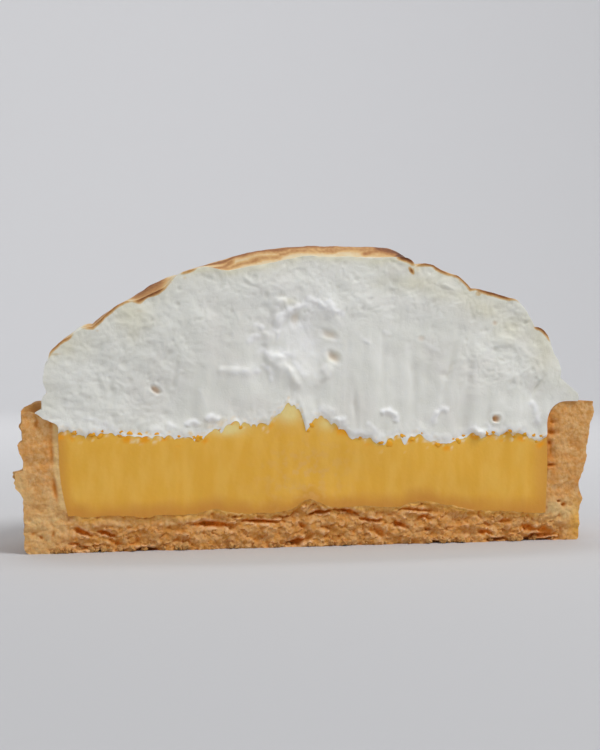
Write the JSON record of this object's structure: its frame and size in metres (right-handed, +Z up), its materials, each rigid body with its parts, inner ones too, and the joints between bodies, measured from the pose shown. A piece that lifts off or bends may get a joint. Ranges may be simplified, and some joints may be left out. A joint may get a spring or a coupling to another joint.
{
  "type": "lemon meringue tartlet half",
  "caption": "Half of a small lemon meringue tartlet with its cut face showing: crumbly pastry case, lemon curd and a piped, toasted meringue dome.",
  "frame": {"origin": "middle of the outline seen from above, on the flat underside the tartlet stands on", "axes": "+X along the cut face from left to right, +Y from the cut face towards the round back, +Z up"},
  "size_m": [0.0818, 0.041, 0.0418],
  "materials": {
    "crust": "dry, crumbly, baked golden brown",
    "curd": "smooth, moist, slightly glossy",
    "meringue": "soft satin foam, toasted brown on the outside"
  },
  "bodies": {
    "root": {"crust": "crust", "curd": "curd", "meringue": "meringue"}
  },
  "joints": []
}
